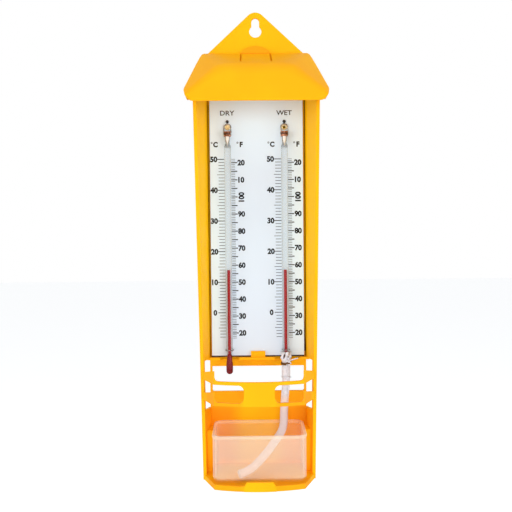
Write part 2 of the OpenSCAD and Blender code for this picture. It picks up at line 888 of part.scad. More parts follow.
// Everything above a plane that rises forward at the pot's draw slope, over the pot's rear rim
module above_draw(gap) {
  clear = 2 * front_depth;
  across(2 * front_half_low)
    polygon([
      [-clear, pot_rim_z + gap - (clear + pot_back) * tan(draw_slope)],
      [clear, pot_rim_z + gap + (clear - pot_back) * tan(draw_slope)],
      [clear, 0], [-clear, 0]
    ]);
}

module wick_upper()
  color(cotton) intersection() {
    wick_tube();
    above_draw(wick_cut[1]);
  }

module wick_lower()
  color(cotton) difference() {
    wick_tube();
    above_draw(wick_cut[0]);
  }

// Plan of the pot's corner posts, drawn in by an inset
module pot_posts(inset, r, z, h)
  both_sides()
    for (d = [pot_back + inset + r, pot_back + pot_len - inset - r])
      at(pot_half - inset - r, d, z) cylinder(r = r, h = h, $fn = 32);

module water_pot()
  color(frosted) difference() {
    hull() {
      pot_posts(0, pot_r, pot_z + pot_bevel, pot_h - pot_bevel);
      pot_posts(foot_step, pot_r - foot_step, pot_z + foot_step, foot_skin);
      pot_posts(pot_bevel, pot_r - pot_bevel, pot_z, foot_skin);
    }
    hull() {
      pot_posts(pot_t, pot_r - pot_t, pot_z + pot_bevel + pot_t / 2, pot_h);
      pot_posts(pot_bevel + pot_t * 2 / 3, pot_r - pot_bevel - pot_t * 2 / 3, pot_z + pot_t, foot_skin);
    }
  }

case_body();
hood();
scale_plate();
glass_tube(dry_x);  // dry_glass_tube
glass_tube(wet_x);  // wet_glass_tube
bulb_spirit(dry_x);  // dry_bulb_spirit
bulb_spirit(wet_x);  // wet_bulb_spirit
column(dry_x);  // dry_column
column(wet_x);  // wet_column
column_top(dry_x);  // dry_column_top
column_top(wet_x);  // wet_column_top
eyelet(dry_x);  // dry_eyelet
eyelet(wet_x);  // wet_eyelet
top_wire(dry_x);  // dry_top_wire
top_wire(wet_x);  // wet_top_wire
top_band(dry_x);  // dry_top_band
top_band(wet_x);  // wet_top_band
top_peg(dry_x);  // dry_top_peg
top_peg(wet_x);  // wet_top_peg
staple(dry_x);  // dry_staple
staple(wet_x);  // wet_staple
wick_sleeve();
wick_tie();
wick_upper();
wick_lower();
water_pot();
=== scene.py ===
import math

import bpy
from mathutils import Matrix, Vector


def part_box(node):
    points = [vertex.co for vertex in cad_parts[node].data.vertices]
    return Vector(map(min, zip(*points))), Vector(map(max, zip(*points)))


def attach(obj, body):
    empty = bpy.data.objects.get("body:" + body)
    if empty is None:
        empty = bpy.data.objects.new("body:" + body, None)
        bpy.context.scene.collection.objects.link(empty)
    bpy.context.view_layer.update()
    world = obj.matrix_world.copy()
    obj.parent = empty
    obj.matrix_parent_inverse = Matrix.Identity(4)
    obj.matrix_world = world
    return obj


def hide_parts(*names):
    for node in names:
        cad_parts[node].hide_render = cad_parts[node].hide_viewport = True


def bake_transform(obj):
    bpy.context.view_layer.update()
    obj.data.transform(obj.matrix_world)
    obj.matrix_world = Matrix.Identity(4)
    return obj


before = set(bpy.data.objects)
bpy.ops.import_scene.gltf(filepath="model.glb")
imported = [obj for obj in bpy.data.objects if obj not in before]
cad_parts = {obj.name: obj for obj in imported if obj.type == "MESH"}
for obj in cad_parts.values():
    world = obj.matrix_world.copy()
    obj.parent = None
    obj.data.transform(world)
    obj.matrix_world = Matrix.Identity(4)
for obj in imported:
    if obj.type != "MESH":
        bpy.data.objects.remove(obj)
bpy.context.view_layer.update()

# The camera looks at the middle of the case from in front, a little left of it.
# It stands 530 mm from the wall, and is turned and tilted by the few degrees that the picture shows.
camera_place = Vector((-0.00588, -0.530, -0.14322))
camera_focal = 52.73
camera_sensor = 36
camera_yaw = math.radians(0.544)
camera_pitch = math.radians(2.144)
camera_roll = math.radians(0.513)
bpy.ops.object.camera_add()
camera = bpy.context.object
camera.name = "camera"
camera.data.lens = camera_focal
camera.data.sensor_width = camera_sensor
camera.data.clip_start = 0.01
camera.matrix_world = (
    Matrix.Translation(camera_place)
    @ Matrix.Rotation(-camera_yaw, 4, "Z")
    @ Matrix.Rotation(-camera_pitch, 4, "X")
    @ Matrix.Rotation(camera_roll, 4, "Y")
    @ Matrix.Rotation(math.radians(90), 4, "X")
)
bpy.context.scene.camera = camera

# The wick is a knitted cotton tube, 5.4 mm across, that draws water from the pot up to the wet bulb.
# It is pulled over the bulb and tied above it, hangs past the bars, and lies forward over the pot's floor.
# Both stretches are knitted by one function, so that their wales run on from each other.
wick_route = [
    (0.0194, -0.0090, -0.2484), (0.0192, -0.0096, -0.2520), (0.0187, -0.0106, -0.2570),
    (0.0182, -0.0118, -0.2620), (0.0178, -0.0129, -0.2670), (0.0175, -0.0139, -0.2715),
    (0.0173, -0.0150, -0.2760), (0.0170, -0.0160, -0.2790), (0.0159, -0.0180, -0.2824),
    (0.0136, -0.0210, -0.2856), (0.0104, -0.0246, -0.2890), (0.0058, -0.0290, -0.2938),
    (0.0006, -0.0332, -0.2984), (-0.0044, -0.0368, -0.3022), (-0.0094, -0.0398, -0.3043),
    (-0.0136, -0.0416, -0.3054),
]
wick_root = (0.01955, -0.0085, -0.2466)
wick_width = 0.0054
wale_count = 14
wale_points = 6
course_step = 0.0010
course_rings = 5
stitch_relief = 0.00011


class Wire:
    """The output of a shader node. Sums on it are written as in Python, and each adds a Math node."""

    def __init__(self, finish, socket):
        self.finish = finish
        self.socket = socket

    def maths(self, operation, *values):
        return self.finish.node("Math", {"operation": operation}, dict(enumerate(values)))

    def __add__(self, other):
        return self.maths("ADD", self, other)

    def __sub__(self, other):
        return self.maths("SUBTRACT", self, other)

    def __rsub__(self, other):
        return self.maths("SUBTRACT", other, self)

    def __mul__(self, other):
        return self.maths("MULTIPLY", self, other)

    def __pow__(self, other):
        return self.maths("POWER", self, other)

    __radd__ = __add__
    __rmul__ = __mul__


class Finish:
    """A material under way, with the nodes that feed its one Principled shader."""

    def __init__(self, name, sockets):
        self.material = bpy.data.materials.new(name)
        self.material.use_nodes = True
        self.tree = self.material.node_tree
        self.shader = self.tree.nodes["Principled BSDF"]
        self.feed(self.shader, sockets)

    def feed(self, node, sockets):
        """Gives sockets their values, or joins them to the wires that lead to them."""
        for name, value in sockets.items():
            if isinstance(value, Wire):
                self.tree.links.new(value.socket, node.inputs[name])
            else:
                node.inputs[name].default_value = value

    def node(self, kind, settings, sockets, output=0):
        """Adds a node, with its settings first and then its sockets."""
        made = self.tree.nodes.new("ShaderNode" + kind)
        for name, value in settings.items():
            setattr(made, name, value)
        self.feed(made, sockets)
        return Wire(self, made.outputs[output])

    def place(self, axis=None):
        """The place on the object, or its distance along one axis."""
        place = self.node("TexCoord", {}, {}, "Object")
        return self.node("SeparateXYZ", {}, {"Vector": place}, axis) if axis else place

    def noise(self, scale, detail=3, stretch=(1, 1, 1)):
        """Soft noise in the object's own coordinates, with so many bumps to a metre."""
        mapped = self.node("Mapping", {}, {"Vector": self.place(), "Scale": stretch})
        return self.node("TexNoise", {}, {"Vector": mapped, "Scale": scale, "Detail": detail})

    def patches(self, scale, low, high, detail=3, stretch=(1, 1, 1)):
        """Noise pulled apart into patches of 0 and of 1."""
        return self.between(self.noise(scale, detail, stretch), low, high)

    def between(self, value, low, high):
        """0 where a value is at the first limit or past it, 1 at the second, and a soft step from one to the other."""
        return self.node(
            "MapRange", {"interpolation_type": "SMOOTHSTEP"}, {"Value": value, "From Min": low, "From Max": high})

    def blend(self, factor, first, second):
        """A colour between two colours."""
        return self.node("Mix", {"data_type": "RGBA"}, {0: factor, 6: first, 7: second}, 2)

    def edge(self, sharpness):
        """1 where the surface turns away, and 0 where it is seen square."""
        return self.node("LayerWeight", {}, {"Blend": sharpness}, "Facing")

    def bump(self, height, depth):
        """A bump map from a height of 0 to 1, so many metres deep."""
        return self.node("Bump", {}, {"Height": height, "Distance": depth, "Strength": 1.0})


def colour(red, green, blue):
    """A colour as it looks on a screen, 0 to 255, as the four numbers that a shader takes."""
    def linear(value):
        share = value / 255
        return share / 12.92 if share <= 0.04045 else ((share + 0.055) / 1.055) ** 2.4
    return (linear(red), linear(green), linear(blue), 1.0)


def smooth_line(points, step):
    """Points every step along a curve that passes through all the points."""
    points = [Vector(p) for p in points]
    ends = [2 * points[0] - points[1], *points, 2 * points[-1] - points[-2]]
    line = []
    for a, b, c, d in zip(ends, ends[1:], ends[2:], ends[3:]):
        count = max(1, round((c - b).length / step))
        for i in range(count):
            t = i / count
            line.append(0.5 * (2 * b + (c - a) * t + (2 * a - 5 * b + 4 * c - d) * t * t
                               + (3 * b - 3 * c + d - a) * t * t * t))
    return [*line, points[-1]]


def swept_tube(name, line, side, count, radius):
    """A closed tube along a line. The radius is worked out for each ring and each turn round it."""
    points = []
    for i, centre in enumerate(line):
        along = (line[min(i + 1, len(line) - 1)] - line[max(i - 1, 0)]).normalized()
        across = along.cross(side).normalized()
        over = along.cross(across)
        for k in range(count):
            turn = 2 * math.pi * k / count
            points.append(centre + radius(i, k) * (math.cos(turn) * across + math.sin(turn) * over))
    faces = [
        (i * count + k, i * count + (k + 1) % count, (i + 1) * count + (k + 1) % count, (i + 1) * count + k)
        for i in range(len(line) - 1) for k in range(count)
    ]
    last = (len(line) - 1) * count
    faces.append(tuple(range(count - 1, -1, -1)))
    faces.append(tuple(range(last, last + count)))
    mesh = bpy.data.meshes.new(name)
    mesh.from_pydata(points, [], faces)
    mesh.update()
    piece = bpy.data.objects.new(name, mesh)
    bpy.context.collection.objects.link(piece)
    bpy.ops.object.select_all(action="DESELECT")
    piece.select_set(True)
    bpy.context.view_layer.objects.active = piece
    bpy.ops.object.mode_set(mode="EDIT")
    bpy.ops.mesh.select_all(action="SELECT")
    bpy.ops.mesh.normals_make_consistent(inside=False)
    bpy.ops.object.mode_set(mode="OBJECT")
    for face in mesh.polygons:
        face.use_smooth = True
    return piece


def knitted_tube(name, line, width, fold=None):
    """A knitted tube along a line: V-shaped stitches stand out in wales, and each end turns inwards."""
    courses = [0]
    for a, b in zip(line, line[1:]):
        courses.append(courses[-1] + (b - a).length / course_step)

    def radius(i, k):
        wale = k / wale_points
        leg = abs(math.sin(math.pi * (courses[i] - 1.1 * abs(wale % 1 - 0.5))))
        groove = abs(math.sin(2 * math.pi * wale))
        out = width(i) + stitch_relief * (groove * (0.35 + 0.65 * leg) - 0.6)
        return out + (fold(i, 2 * math.pi * wale / wale_count) if fold else 0)

    piece = swept_tube(name, line, Vector((0, 1, 0)), wale_count * wale_points, radius)
    bpy.ops.object.mode_set(mode="EDIT")
    bpy.ops.mesh.select_all(action="DESELECT")
    bpy.ops.object.mode_set(mode="OBJECT")
    for face in piece.data.polygons:
        face.select = len(face.vertices) > 4
    bpy.ops.object.mode_set(mode="EDIT")
    bpy.ops.mesh.select_mode(type="FACE")
    for depth, inset in ((0.0, 0.0008), (-0.0011, 0.0004)):
        bpy.ops.mesh.inset(thickness=inset, depth=depth)
    bpy.ops.object.mode_set(mode="OBJECT")
    return piece


cotton_white = colour(234, 237, 245)
cotton_shade = colour(217, 220, 228)
# Painted light: where the wick hangs between the bars, its colour takes the orange light thrown on it by the case.
# From about 262 mm down it is darker and pinker.
cotton_orange_light = colour(240, 210, 190)
cotton_lower_tone = colour(214, 200, 200)
cotton = Finish("wick_cotton", {"Roughness": 0.95, "Sheen Weight": 0.3, "Specular IOR Level": 0.2})
orange_light_band = cotton.between(cotton.place("Z"), -0.257, -0.264) * cotton.between(cotton.place("Z"), -0.288, -0.280)
wick_lower_part = cotton.between(cotton.place("Z"), -0.262, -0.272)
dry_cotton = cotton.blend(cotton.patches(420, 0.35, 0.65), cotton_shade, cotton_white)
cotton.feed(cotton.shader, {
    "Base Color": cotton.blend(wick_lower_part, cotton.blend(0.75 * orange_light_band, dry_cotton, cotton_orange_light), cotton_lower_tone),
    "Normal": cotton.bump(cotton.noise(5200, 4, (1, 1, 0.35)), 0.00006),
})

wick_line = smooth_line([wick_root, *wick_route], course_step / course_rings)
wick = knitted_tube("wick", wick_line, lambda i: wick_width / 2)
wick.data.materials.append(cotton.material)
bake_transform(wick)
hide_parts("wick_upper", "wick_lower")

# The same tube goes on up over the wet bulb as a sleeve, drawn in by the thread tied round it.
# Above the thread it is gathered in loose twisted folds, with shade painted dark into the gaps between them.
bulb_x = (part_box("wet_glass_tube")[0].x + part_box("wet_glass_tube")[1].x) / 2
tube_y = (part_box("wet_glass_tube")[0].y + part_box("wet_glass_tube")[1].y) / 2
sleeve_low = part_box("wick_sleeve")[0]
tie_z = -0.2375
sleeve_radius = 0.0030
cinch_depth = 0.00045
cinch_half = 0.0013
fold_depth = 0.0009
fold_count = 5
fold_twist = 700
sleeve_line = smooth_line(
    [(bulb_x, tube_y, tie_z + 0.0078), (bulb_x, tube_y, tie_z), (bulb_x, tube_y, sleeve_low.z)],
    course_step / course_rings,
)


def sleeve_width(i):
    """Radius of the sleeve at a ring: narrow at the thread, and at the wick's end."""
    z = sleeve_line[i].z
    cinch = cinch_depth * math.exp(-((z - tie_z) / cinch_half) ** 2)
    down = min(1, max(0, 1 - (z - sleeve_low.z) / 0.0025))
    return sleeve_radius - cinch - (sleeve_radius - wick_width / 2 - 0.00008) * down


def sleeve_fold(i, turn):
    """How far the gathered end's folds stand out or lie in at a ring and turn."""
    above = min(1, max(0, (sleeve_line[i].z - tie_z - 0.0012) / 0.002))
    wave = math.sin(fold_count * turn + fold_twist * sleeve_line[i].z) * 0.7
    wave += math.sin(2 * turn - 1.7 * fold_twist * sleeve_line[i].z) * 0.3
    return fold_depth * above * (0.1 + (wave if wave > 0 else 1.4 * wave))


sleeve = knitted_tube("bulb_sleeve", sleeve_line, sleeve_width, sleeve_fold)
gathered = Finish("sleeve_cotton", {"Roughness": 0.95, "Sheen Weight": 0.3, "Specular IOR Level": 0.2})
# Painted shade: the gaps between the folds are coloured dark brown, and the tube's end faces part way.
painted_fold_shade = gathered.node("Attribute", {"attribute_name": "fold"}, {}, "Fac")
gathered.feed(gathered.shader, {
    "Base Color": gathered.blend(
        painted_fold_shade, colour(84, 56, 48),
        gathered.blend(gathered.patches(420, 0.35, 0.65), cotton_shade, cotton_white)),
    "Normal": gathered.bump(gathered.noise(5200, 4, (1, 1, 0.35)), 0.00006),
})
painted_fold_light = sleeve.data.attributes.new("fold", "FLOAT", "POINT")
for i in range(len(sleeve_line)):
    for k in range(wale_count * wale_points):
        out = sleeve_fold(i, 2 * math.pi * k / (wale_count * wale_points))
        painted_fold_light.data[i * wale_count * wale_points + k].value = min(1, max(0, 1 + (out + 0.00025) / 0.0003))
for i in range(len(sleeve_line) * wale_count * wale_points, len(painted_fold_light.data)):
    painted_fold_light.data[i].value = 0.6
sleeve.data.materials.append(gathered.material)
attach(sleeve, "case")
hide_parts("wick_sleeve")

# The thread is waxed, two turns round the sleeve, tied in front in a fat knot of loops.
# Its two tails are left long. Thread, knot and tails are two plies twisted together.
thread_width = 0.0009
knot_x, knot_y, knot_z = bulb_x + 0.0007, tube_y - 0.0045, tie_z + 0.0023
turn_radius = 0.0032
thread_pitch = 0.0009


def twisted_thread(name, line, width, side, lay=0.0016):
    """A thread of two plies along a line, with the groove between them winding round it."""
    walked = [0]
    for a, b in zip(line, line[1:]):
        walked.append(walked[-1] + (b - a).length)

    def radius(i, k):
        turn = 2 * math.pi * k / 12
        ply = abs(math.cos(turn - 2 * math.pi * walked[i] / lay))
        return width / 2 * (0.62 + 0.38 * ply)

    return swept_tube(name, line, side, 12, radius)


# Its brown is partly the waxed thread's own colour and partly painted shade in the winding.
waxed = Finish("waxed_thread", {"Roughness": 0.7, "Specular IOR Level": 0.3})
waxed.feed(waxed.shader, {
    "Base Color": waxed.blend(waxed.patches(900, 0.3, 0.7), colour(92, 58, 22), colour(140, 98, 48)),
    "Normal": waxed.bump(waxed.noise(5200, 3), 0.00004),
})
winding_line = [
    Vector((
        bulb_x + turn_radius * math.sin(a),
        tube_y - turn_radius * math.cos(a),
        tie_z + 0.0008 - thread_pitch * a / (2 * math.pi),
    ))
    for a in [i * math.pi / 24 for i in range(97)]
]
winding = twisted_thread("tie_winding", winding_line, thread_width, Vector((0, 0, 1)))
winding.data.materials.append(waxed.material)
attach(winding, "case")
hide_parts("wick_tie")

waxed_tail = twisted_thread("waxed_tail", smooth_line([
    (bulb_x + 0.0020, tube_y - 0.0028, tie_z + 0.0010), (bulb_x + 0.0042, tube_y - 0.0036, tie_z + 0.0022),
    (bulb_x + 0.0070, tube_y - 0.0026, tie_z + 0.0036), (bulb_x + 0.0098, tube_y - 0.0012, tie_z + 0.0041),
], 0.0003), 0.0006, Vector((0.1, 1, 0.2)).normalized())
waxed_tail.data.materials.append(waxed.material)
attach(waxed_tail, "case")
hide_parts("wick_tie")

knot_line = [
    Vector((
        knot_x + 0.0011 * math.sin(2 * a) + 0.0007 * math.sin(a), knot_y + 0.0004 * math.sin(3 * a),
        knot_z + 0.0013 * math.cos(2 * a) * 0.6 - 0.0010 * math.cos(a)
    ))
    for a in [i * math.pi / 48 for i in range(95)]
]
long_tail = smooth_line([
    (knot_x + 0.0008, knot_y - 0.0002, knot_z + 0.0002), (knot_x + 0.0024, knot_y - 0.0006, knot_z + 0.0002),
    (knot_x + 0.0046, knot_y - 0.0002, knot_z + 0.0009), (knot_x + 0.0073, knot_y, knot_z + 0.0015),
], 0.0003)
short_tail = smooth_line([
    (knot_x + 0.0004, knot_y - 0.0002, knot_z - 0.0004), (knot_x + 0.0016, knot_y - 0.0006, knot_z - 0.0010),
    (knot_x + 0.0026, knot_y - 0.0002, knot_z - 0.0022),
], 0.0003)
for name, line, width in (
    ("tie_knot", knot_line, 0.0013), ("long_tail", long_tail, 0.0009), ("short_tail", short_tail, 0.0009),
):
    loose = twisted_thread(name, line, width, Vector((0.1, 1, 0.2)).normalized(), 0.0026)
    loose.data.materials.append(cotton.material)
    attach(loose, "case")
    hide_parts("wick_tie")

# The case is one moulding in yellow polypropylene: back, side walls, ledge, basket bars and tray.
# The hood is a second moulding, clipped on over the top. Both have the fine grain of a blasted mould.
case_yellow = colour(255, 182, 0)
case_amber = colour(253, 175, 0)
basket_painted_shade = colour(250, 160, 4)
inside_painted_light = colour(255, 198, 0)
recess_painted_shade = colour(248, 155, 2)
tongue_painted_shade = colour(248, 160, 4)
gap_painted_shadow = colour(84, 36, 4)
edge_round = 0.00035
plate_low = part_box("scale_plate")[0]
plastic = Finish("case_polypropylene", {"Specular IOR Level": 0.12})
surface = plastic.blend(plastic.patches(26, 0.35, 0.65, 3, (1, 1, 0.4)), case_amber, case_yellow)
across = plastic.place("X")
across = across.maths("ABSOLUTE", across)
# Painted shade: low down, the front faces of the basket outside the web are a deeper amber.
basket = plastic.between(across, 0.0090, 0.0130) * plastic.between(plastic.place("Y"), -0.034, -0.038)
basket = basket * plastic.between(plastic.place("Z"), -0.248, -0.253)
surface = plastic.blend(0.8 * basket, surface, basket_painted_shade)
# Painted light and shade on the faces inside the case below the hood: lighter yellow high up, turning orange lower
# down, and less orange behind the web, where light falls on the back panel.
recess = plastic.node("Attribute", {"attribute_name": "recess"}, {}, "Fac")
deeper_painted_shade = plastic.between(plastic.place("Z"), -0.190, -0.290)
light_behind_web = plastic.between(across, 0.022, 0.009)
light_behind_web = light_behind_web * plastic.between(plastic.place("Z"), -0.262, -0.272)
deeper_painted_shade = deeper_painted_shade * (1 - 0.7 * light_behind_web)
surface = plastic.blend(recess, surface, plastic.blend(deeper_painted_shade, inside_painted_light, recess_painted_shade))
# Painted shade: the hood's tongue and the sides of its slits are a deeper orange.
tongue = plastic.node("Attribute", {"attribute_name": "tongue"}, {}, "Fac")
surface = plastic.blend(tongue, surface, tongue_painted_shade)
# Painted shadow: the back panel in the narrow gaps beside the plate, above its foot, is dark brown, more so on the
# right.
gap_shadow = recess * plastic.between(plastic.place("Y"), -0.0042, -0.0034)
gap_shadow = gap_shadow * plastic.between(plastic.place("Z"), plate_low.z - 0.0012, plate_low.z + 0.0002)
gap_shadow = gap_shadow * (0.35 + 0.65 * plastic.between(plastic.place("X"), 0.020, 0.028))
plastic.feed(plastic.shader, {
    "Base Color": plastic.blend(gap_shadow, surface, gap_painted_shadow),
    "Roughness": 0.5 + 0.1 * plastic.noise(180, 3),
    "Normal": plastic.bump(plastic.noise(2600, 2), 0.00002),
})


def joined_copy(node, name):
    """A copy of a CAD node with its loose triangles joined up and flat stretches cleared of edges."""
    piece = bpy.data.objects.new(name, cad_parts[node].data.copy())
    bpy.context.collection.objects.link(piece)
    bpy.ops.object.select_all(action="DESELECT")
    piece.select_set(True)
    bpy.context.view_layer.objects.active = piece
    bpy.ops.object.mode_set(mode="EDIT")
    bpy.ops.mesh.select_all(action="SELECT")
    bpy.ops.mesh.remove_doubles(threshold=0.000005)
    bpy.ops.mesh.dissolve_limited(angle_limit=math.radians(1))
    bpy.ops.object.mode_set(mode="OBJECT")
    piece.data.materials.clear()
    return piece


def soften(piece, width, segments=2, sharp=30):
    """Rounds the sharp edges of a moulding, and shades each flat face flat and each curve smooth."""
    bevel = piece.modifiers.new("edges", "BEVEL")
    bevel.width = width
    bevel.segments = segments
    bevel.limit_method = "ANGLE"
    bevel.angle_limit = math.radians(sharp)
    bevel.use_clamp_overlap = True
    bpy.ops.object.modifier_apply(modifier="edges")
    bpy.ops.object.shade_smooth_by_angle(angle=math.radians(sharp))
    weights = piece.modifiers.new("flat_faces", "WEIGHTED_NORMAL")
    weights.mode = "FACE_AREA"
    weights.weight = 90
    weights.keep_sharp = True
    bpy.ops.object.modifier_apply(modifier="flat_faces")


def mark_faces(piece, name, chosen):
    """Marks with a 1 the faces that pass a test of their middle and normal, for the material to read."""
    marks = piece.data.attributes.new(name, "FLOAT", "FACE")
    for face in piece.data.polygons:
        marks.data[face.index].value = 1.0 if chosen(face.center, face.normal) else 0.0


def faces_in(middle, normal):
    """True for the faces inside the case, below the hood: the panel's front and the walls' inner sides."""
    inside = normal.y < -0.7 and middle.y > -0.0045 or middle.x * normal.x < -0.01
    return middle.z < -0.045 and middle.y < -0.001 and inside


hood_lip_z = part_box("hood")[0].z
hood_top_z = -0.0222
hood_fullness = [
    (hood_lip_z, 1.0), (hood_lip_z + 0.0019, 0.986), (hood_lip_z + 0.0040, 0.998), (hood_lip_z + 0.0057, 1.002),
    (hood_lip_z + 0.0070, 1.012), (hood_lip_z + 0.0083, 1.026), (hood_lip_z + 0.0097, 1.033),
    (hood_lip_z + 0.0150, 1.031), (hood_top_z - 0.0100, 1.028), (hood_top_z - 0.0040, 1.023),
    (hood_top_z - 0.0010, 1.012), (hood_top_z, 1.0),
]
tongue_room = 0.012
tongue_back_y = -0.0075


def fill_out(piece, levels):
    """Widens the hood's cheeks by a share at each of several levels. It is cut at each, to bend there."""
    bpy.ops.object.mode_set(mode="EDIT")
    for level, share in levels[1:-1]:
        bpy.ops.mesh.select_all(action="SELECT")
        bpy.ops.mesh.bisect(plane_co=(0, 0, level), plane_no=(0, 0, 1))
    bpy.ops.object.mode_set(mode="OBJECT")
    for vertex in piece.data.vertices:
        for (z0, share0), (z1, share1) in zip(levels, levels[1:]):
            if z0 <= vertex.co.z < z1 and abs(vertex.co.x) > tongue_room:
                vertex.co.x *= share0 + (share1 - share0) * (vertex.co.z - z0) / (z1 - z0)
                break


def on_tongue(middle, normal):
    """True for the hood's faces between the two slits, and for the slits' own sides."""
    return middle.y > tongue_back_y and abs(middle.x) < tongue_room


for node, name in (("case_body", "case_moulding"), ("hood", "hood_moulding")):
    moulding = joined_copy(node, name)
    if node == "hood":
        fill_out(moulding, hood_fullness)
    soften(moulding, edge_round)
    mark_faces(moulding, "recess", faces_in)
    mark_faces(moulding, "tongue", lambda middle, normal: node == "hood" and on_tongue(middle, normal))
    moulding.data.materials.append(plastic.material)
    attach(moulding, "case")
    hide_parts(node)

# The scale plate is white sheet plastic, cut to stand on the ledge between the side walls.
# A shadow is painted dark brown along the seam at its foot. It is printed in black with two scales to each tube.
seam_painted_shadow = colour(44, 18, 4)
plate_white = colour(216, 229, 242)
plate_grey = colour(210, 222, 234)
plate_painted_light = colour(222, 243, 255)
sheet_plastic = Finish("plate_sheet", {"Specular IOR Level": 0.25})
sheet = sheet_plastic.blend(sheet_plastic.noise(18, 2), plate_grey, plate_white)
across = sheet_plastic.place("X")
outer = sheet_plastic.between(across.maths("ABSOLUTE", across), 0.010, 0.034)
upper = sheet_plastic.between(sheet_plastic.place("Z"), -0.115, -0.060)
# Painted light: towards its sides and its top the plate is painted lighter and cooler.
sheet = sheet_plastic.blend(outer.maths("MAXIMUM", 0.8 * outer, upper), sheet, plate_painted_light)
# Painted shadow: the lowest millimetre of the plate turns dark brown.
seam_shadow = sheet_plastic.between(sheet_plastic.place("Z"), plate_low.z + 0.0011, plate_low.z + 0.0006)
sheet_plastic.feed(sheet_plastic.shader, {
    "Base Color": sheet_plastic.blend(seam_shadow, sheet, seam_painted_shadow),
    "Roughness": 0.36 + 0.1 * sheet_plastic.noise(300, 3),
    "Normal": sheet_plastic.bump(sheet_plastic.noise(900, 2), 0.000008),
})
plate = joined_copy("scale_plate", "printed_plate")
soften(plate, 0.0002, 2, 50)
plate.data.materials.append(sheet_plastic.material)
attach(plate, "case")
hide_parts("scale_plate")

ink_black = colour(8, 10, 14)
ink_worn = colour(30, 33, 40)
ink_thickness = 0.00003
plate_front = plate_low.y
dry_tube_x = (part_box("dry_glass_tube")[0].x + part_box("dry_glass_tube")[1].x) / 2
wet_tube_x = bulb_x
celsius_zero_z = -0.2024
celsius_step = 0.00214
ink = Finish("plate_ink", {"Specular IOR Level": 0.25})
ink.feed(ink.shader, {
    "Base Color": ink.blend(ink.patches(1800, 0.45, 0.75), ink_black, ink_worn),
    "Roughness": 0.5 + 0.2 * ink.noise(1500, 2),
})


def celsius_z(degrees):
    return celsius_zero_z + degrees * celsius_step


def fahrenheit_z(degrees):
    return celsius_z((degrees - 32) * 5 / 9)


def join_ink(parts, name):
    """Joins printed parts into one piece and fixes it to the plate."""
    bpy.ops.object.select_all(action="DESELECT")
    for part in parts:
        part.select_set(True)
    bpy.context.view_layer.objects.active = parts[0]
    bpy.ops.object.join()
    piece = bpy.context.object
    piece.name = name
    piece.data.name = name
    piece.data.materials.clear()
    piece.data.materials.append(ink.material)
    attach(piece, "case")


def printed_line(left, right, z, thick):
    """A printed line across the plate, at its place."""
    bpy.ops.mesh.primitive_cube_add(size=1)
    line = bpy.context.object
    line.scale = (right - left, ink_thickness, thick)
    line.location = ((left + right) / 2, plate_front - ink_thickness / 2, z)
    bpy.ops.object.transform_apply()
    return line


def printed_word(text, centre, height, width=None, turn=0, weight=0.052):
    """Printed type of a given height, weight, and width where it is wide-set, at its place."""
    bpy.ops.object.text_add()
    word = bpy.context.object
    word.data.body = text
    word.data.extrude = 0.5
    word.data.offset = weight
    word.data.resolution_u = 3
    bpy.ops.object.convert(target="MESH")
    low = Vector(map(min, *[v.co for v in word.data.vertices]))
    high = Vector(map(max, *[v.co for v in word.data.vertices]))
    size = high - low
    grow = height / size.y
    across = width / size.x if width else grow * 0.96
    word.data.transform(Matrix.Translation(-(low + high) / 2))
    word.data.transform(Matrix.Diagonal((across, grow, ink_thickness, 1)))
    word.data.transform(Matrix.Rotation(turn, 4, "Z"))
    word.data.transform(Matrix.Rotation(math.radians(90), 4, "X"))
    word.data.transform(Matrix.Translation((centre[0], plate_front - ink_thickness / 2, centre[1])))
    return word


# The ticks run one to a degree on both scales, longer and blacker at the fives and tens.
# Celsius stands left of each tube and Fahrenheit right of it.
celsius_ticks = []
fahrenheit_ticks = []
for tube_x in (dry_tube_x, wet_tube_x):
    for degrees in range(-8, 51):
        length, thick = (0.0040, 0.00036)
        if degrees % 5 == 0:
            length, thick = (0.0050, 0.00036)
        if degrees % 10 == 0:
            length, thick = (0.0052, 0.00054)
        right = tube_x - 0.0024
        celsius_ticks.append(printed_line(right - length, right, celsius_z(degrees), thick))
    for degrees in range(17, 123):
        length, thick = (0.0042, 0.00068) if degrees % 5 == 0 else (0.0027, 0.00030)
        left = tube_x + 0.0024
        fahrenheit_ticks.append(printed_line(left, left + length, fahrenheit_z(degrees), thick))
join_ink(celsius_ticks, "celsius_ticks")
join_ink(fahrenheit_ticks, "fahrenheit_ticks")

# The numbers are bold upright figures. The hundreds of the Fahrenheit scale are left off,
# and 100 itself is printed on its side.
digit_height = 0.0041
celsius_numbers = []
fahrenheit_numbers = []
for tube_x in (dry_tube_x, wet_tube_x):
    for degrees in range(0, 51, 10):
        celsius_numbers.append(printed_word(str(degrees), (tube_x - 0.0097, celsius_z(degrees)), digit_height))
    for degrees in range(20, 121, 10):
        shown = "100" if degrees == 100 else str(degrees % 100)
        turn = math.radians(90) if degrees == 100 else 0
        fahrenheit_numbers.append(
            printed_word(shown, (tube_x + 0.0093, fahrenheit_z(degrees)), digit_height, None, turn))
join_ink(celsius_numbers, "celsius_numbers")
join_ink(fahrenheit_numbers, "fahrenheit_numbers")

headings = []
for tube_x, title, width in ((dry_tube_x, "DRY", 0.0099), (wet_tube_x, "WET", 0.0108)):
    headings.append(printed_word(title, (tube_x, -0.0635), 0.0033, width, 0, 0.016))
    for letter, place_x in (("C", tube_x - 0.0084), ("F", tube_x + 0.0095)):
        headings.append(printed_word(letter, (place_x, -0.0852), 0.0037))
        headings.append(printed_word("°", (place_x - 0.0026, -0.0840), 0.0013, 0.0013, 0, 0.010))
join_ink(headings, "headings")

